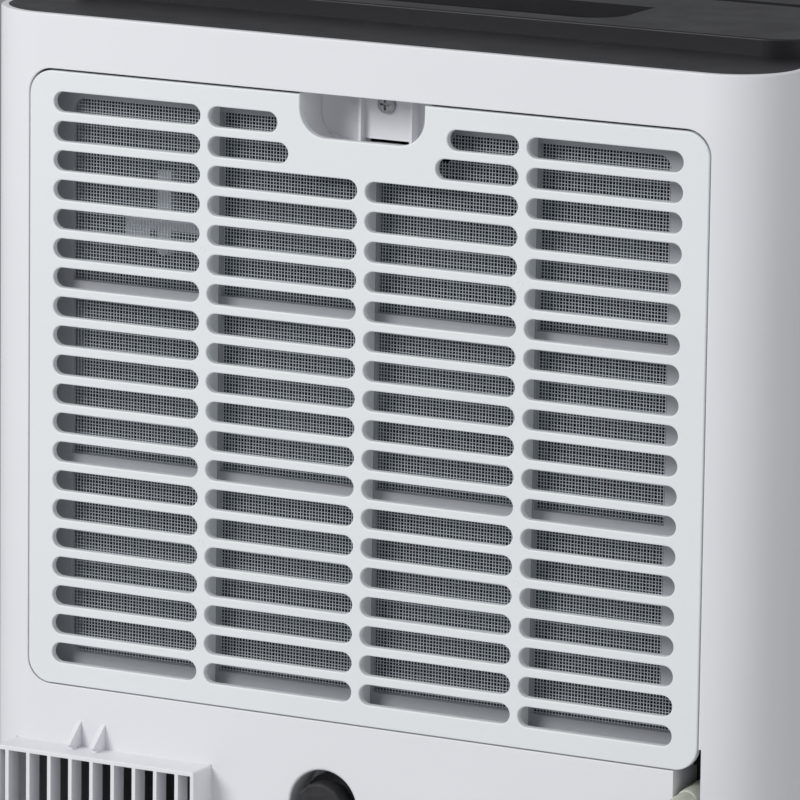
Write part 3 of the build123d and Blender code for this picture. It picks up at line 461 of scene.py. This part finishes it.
def key_symbol(node):
    """A thin raised sign on top of one key."""
    low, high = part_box(node)
    centre = Vector(((low.x + high.x) / 2, (low.y + high.y) / 2, high.z - SIGN_HIGH / 2))
    bm = bmesh.new()

    def bar(width, depth, shift, turn=0.0):
        matrix = (Matrix.Translation(centre + Vector((*shift, 0))) @ Matrix.Rotation(turn, 4, "Z")
                  @ Matrix.Diagonal((width, depth, SIGN_HIGH, 1)))
        bmesh.ops.create_cube(bm, size=1, matrix=matrix)

    def disc(radius, sides, shift=(0, 0), turn=0.0):
        matrix = Matrix.Translation(centre + Vector((*shift, 0))) @ Matrix.Rotation(turn, 4, "Z")
        bmesh.ops.create_cone(bm, cap_ends=True, segments=sides, radius1=radius, radius2=radius,
                              depth=SIGN_HIGH, matrix=matrix)

    if node == "button_power":
        ring_r, gap_at, dash_turn = 2.4 * MM, 90, 22
        bar(STROKE, 2.6 * MM, (0, 1.6 * MM))
        for dash in range(-6, 7):
            degrees = gap_at + 180 + dash * dash_turn
            bar(0.9 * MM, STROKE, around(ring_r, degrees), math.radians(degrees + 90))
    elif node == "button_mode":
        side, half_x, half_y = 3.4 * MM, 1.45 * MM, 1.5 * MM
        for sign_y in (1, -1):
            bar(side, STROKE, (0, sign_y * half_y))
        for sign_x in (1, -1):
            bar(STROKE, 2 * half_y - STROKE, (sign_x * half_x, 0))
    elif node == "button_fan":
        for degrees in (90, 210, 330):
            disc(0.95 * MM, 20, around(1.7 * MM, degrees))
    elif node == "button_timer":
        bar(STROKE, 2.4 * MM, (0, 1.0 * MM))
        bar(2.2 * MM, STROKE, (1.1 * MM, -0.05 * MM))
    else:
        disc(2.3 * MM, 3, turn=0.0 if node == "button_up" else math.pi)
    finish_piece(bm, node.replace("button", "sign"), node, "pale_clip")


for button_name in [name for name in nodes if name.startswith("button_")]:
    key_symbol(button_name)

# %% [markdown]
# ## The mains cord
#
# Only the first few centimetres are seen from the camera's place, coming straight out of the
# bay in the back. It is a PVC cord of 8 mm and about 1.8 m, so it bends in wide curves: it falls
# to the floor and the rest is put away in a neat coil with a tie. One smooth NURBS line runs
# from the bay to the plug. The free part is a short list of given points, and the coil's turns
# are worked out by a loop: in along the floor layer, up one cord, and out again.

# %% The cord's line
CORD_D, CORD_LENGTH = 8 * MM, 1.81
COIL_STEP = 8.2 * MM                     # from one turn or layer of the coil to the next
COIL_START_DEG, COIL_TURNS = 118.0, 4 + 28 / 360
INWARD_TURNS, RISE_TURNS = 2.0, 0.25
POINTS_A_TURN = 16
sleeve_low, sleeve_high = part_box("cord_gland")
cord_x, cord_z = (sleeve_low.x + sleeve_high.x) / 2, (sleeve_low.z + sleeve_high.z) / 2
coil_low, coil_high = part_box("cord_coil")
coil_x, coil_y = (coil_low.x + coil_high.x) / 2, (coil_low.y + coil_high.y) / 2
coil_outer_r = (coil_high.x - coil_low.x) / 2 - CORD_D / 2

to_the_floor = [
    (cord_x, FACE_Y, cord_z), (cord_x, 0.1770, cord_z), (-0.1462, 0.1980, 0.3930),
    (-0.1440, 0.2110, 0.3710), (-0.1410, 0.2160, 0.3420), (-0.1385, 0.2165, 0.2960),
    (-0.1370, 0.2140, 0.2280), (-0.1375, 0.2100, 0.1540), (-0.1380, 0.2085, 0.0920),
    (-0.1360, 0.2120, 0.0500), (-0.1300, 0.2220, 0.0200), (-0.1160, 0.2390, 0.0054),
    (-0.0970, 0.2590, 0.0050)]
to_the_plug = [(-0.0060, 0.2808, 0.0134), (0.0160, 0.2750, 0.0122), (0.0340, 0.2675, 0.0106)]


def coil_points():
    """The turns: two inwards on the floor, a rise by one cord, and the rest outwards on top."""
    points = []
    steps = int(COIL_TURNS * POINTS_A_TURN)
    for step in range(steps + 1):
        turn = COIL_TURNS * step / steps
        angle = math.radians(COIL_START_DEG - 360 * turn)
        rise = min(max((turn - INWARD_TURNS) / RISE_TURNS, 0), 1)
        outward = max(turn - INWARD_TURNS - RISE_TURNS, 0)
        radius = coil_outer_r - COIL_STEP * min(turn, INWARD_TURNS) + COIL_STEP * outward
        height = coil_low.z + CORD_D / 2 + COIL_STEP * rise
        points.append((coil_x + radius * math.cos(angle), coil_y + radius * math.sin(angle),
                       height))
    return points


cord_curve = bpy.data.curves.new("mains_cord", "CURVE")
cord_curve.dimensions = "3D"
spline = cord_curve.splines.new("NURBS")
cord_points = to_the_floor + coil_points() + to_the_plug
spline.points.add(len(cord_points) - 1)
for point, spot in zip(spline.points, cord_points):
    point.co = (*spot, 1)
spline.order_u = 3
spline.use_endpoint_u = True
spline.resolution_u = 8
print(len(cord_points), "points; the whole line is", round(spline.calc_length(), 3), "m long")
cord_curve.bevel_depth = CORD_D / 2
cord_curve.bevel_resolution = 5
cord_curve.use_fill_caps = True
cord_curve.materials.append(MATERIALS["ivory_jacket"])
cord = bpy.data.objects.new("mains_cord", cord_curve)
bpy.context.collection.objects.link(cord)
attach(cord, "root")
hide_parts("cord_tube", "cord_coil", "cord_tail")

# %% [markdown]
# ## The strain relief
#
# Where the cord leaves the bay it is held by a soft sleeve with a collar at its foot. A rounded
# outline is spun round the cord's line, and the plain cone of the solid part is hidden.

# %% Sleeve on the cord
# Each point is a share of the sleeve's length and a radius in mm. The first and last lie just
# inside the cord, so the gap between them is hidden.
SLEEVE_OUTLINE = [(0.0, 3.9), (0.0, 5.2), (0.03, 5.4), (0.34, 5.4), (0.38, 5.2), (0.40, 4.9),
                  (0.60, 4.85), (0.80, 4.75), (0.94, 4.6), (0.98, 4.4), (1.0, 3.9)]
sleeve_long = sleeve_high.y - sleeve_low.y
bm = bmesh.new()
verts = [bm.verts.new((cord_x + radius * MM, sleeve_low.y + sleeve_long * along, cord_z))
         for along, radius in SLEEVE_OUTLINE]
edges = [bm.edges.new(pair) for pair in zip(verts, verts[1:] + verts[:1])]
bmesh.ops.spin(bm, geom=verts + edges, cent=(cord_x, 0, cord_z), axis=(0, 1, 0), angle=2 * math.pi,
               steps=40, use_merge=True)
bmesh.ops.recalc_face_normals(bm, faces=bm.faces)
sleeve = finish_piece(bm, "cord_sleeve", "root", "ivory_jacket")
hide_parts("cord_gland")

# %% [markdown]
# ## Floor and light
#
# The floor is plain and pale. The main light is a large soft panel on the camera's left and
# above, so surfaces that face the other way fall into a mild grey. A weaker panel fills from
# the right, one above brightens the top, and the sky gives an even low light.

# %% Studio
FLOOR_SIZE = 14.0
bm = bmesh.new()
bmesh.ops.create_grid(bm, x_segments=1, y_segments=1, size=FLOOR_SIZE / 2)
floor_mesh = bpy.data.meshes.new("floor")
bm.to_mesh(floor_mesh)
bm.free()
floor = bpy.data.objects.new("floor", floor_mesh)
bpy.context.collection.objects.link(floor)
moulded("pale_floor", (0.72, 0.72, 0.73), 0.75, drift=0.01, grain=200.0)
floor.data.materials.append(MATERIALS["pale_floor"])


def soft_panel(name, azimuth, elevation, distance, size, watts):
    """A square area light that points at the middle of the machine."""
    data = bpy.data.lights.new(name, "AREA")
    data.shape = "SQUARE"
    data.size = size
    data.energy = watts
    light = bpy.data.objects.new(name, data)
    bpy.context.collection.objects.link(light)
    turn, lift = math.radians(azimuth), math.radians(elevation)
    outwards = Vector((math.sin(turn) * math.cos(lift), -math.cos(turn) * math.cos(lift),
                       math.sin(lift)))
    light.rotation_mode = "QUATERNION"
    light.rotation_quaternion = outwards.to_track_quat("Z", "Y")
    light.location = LOOK_AT + outwards * distance


soft_panel("key_panel", 151, 28, 2.6, 1.1, 43)
soft_panel("fill_panel", 256, 12, 3.2, 2.4, 17)
soft_panel("top_panel", 200, 78, 2.6, 2.0, 9)

SKY_COLOUR, SKY_STRENGTH = (0.95, 0.97, 1.0), 0.29
world = bpy.data.worlds.new("studio_sky")
world.use_nodes = True
sky = world.node_tree.nodes["Background"]
sky.inputs["Color"].default_value = (*SKY_COLOUR, 1)
sky.inputs["Strength"].default_value = SKY_STRENGTH
bpy.context.scene.world = world
bpy.context.scene.view_settings.view_transform = "Standard"
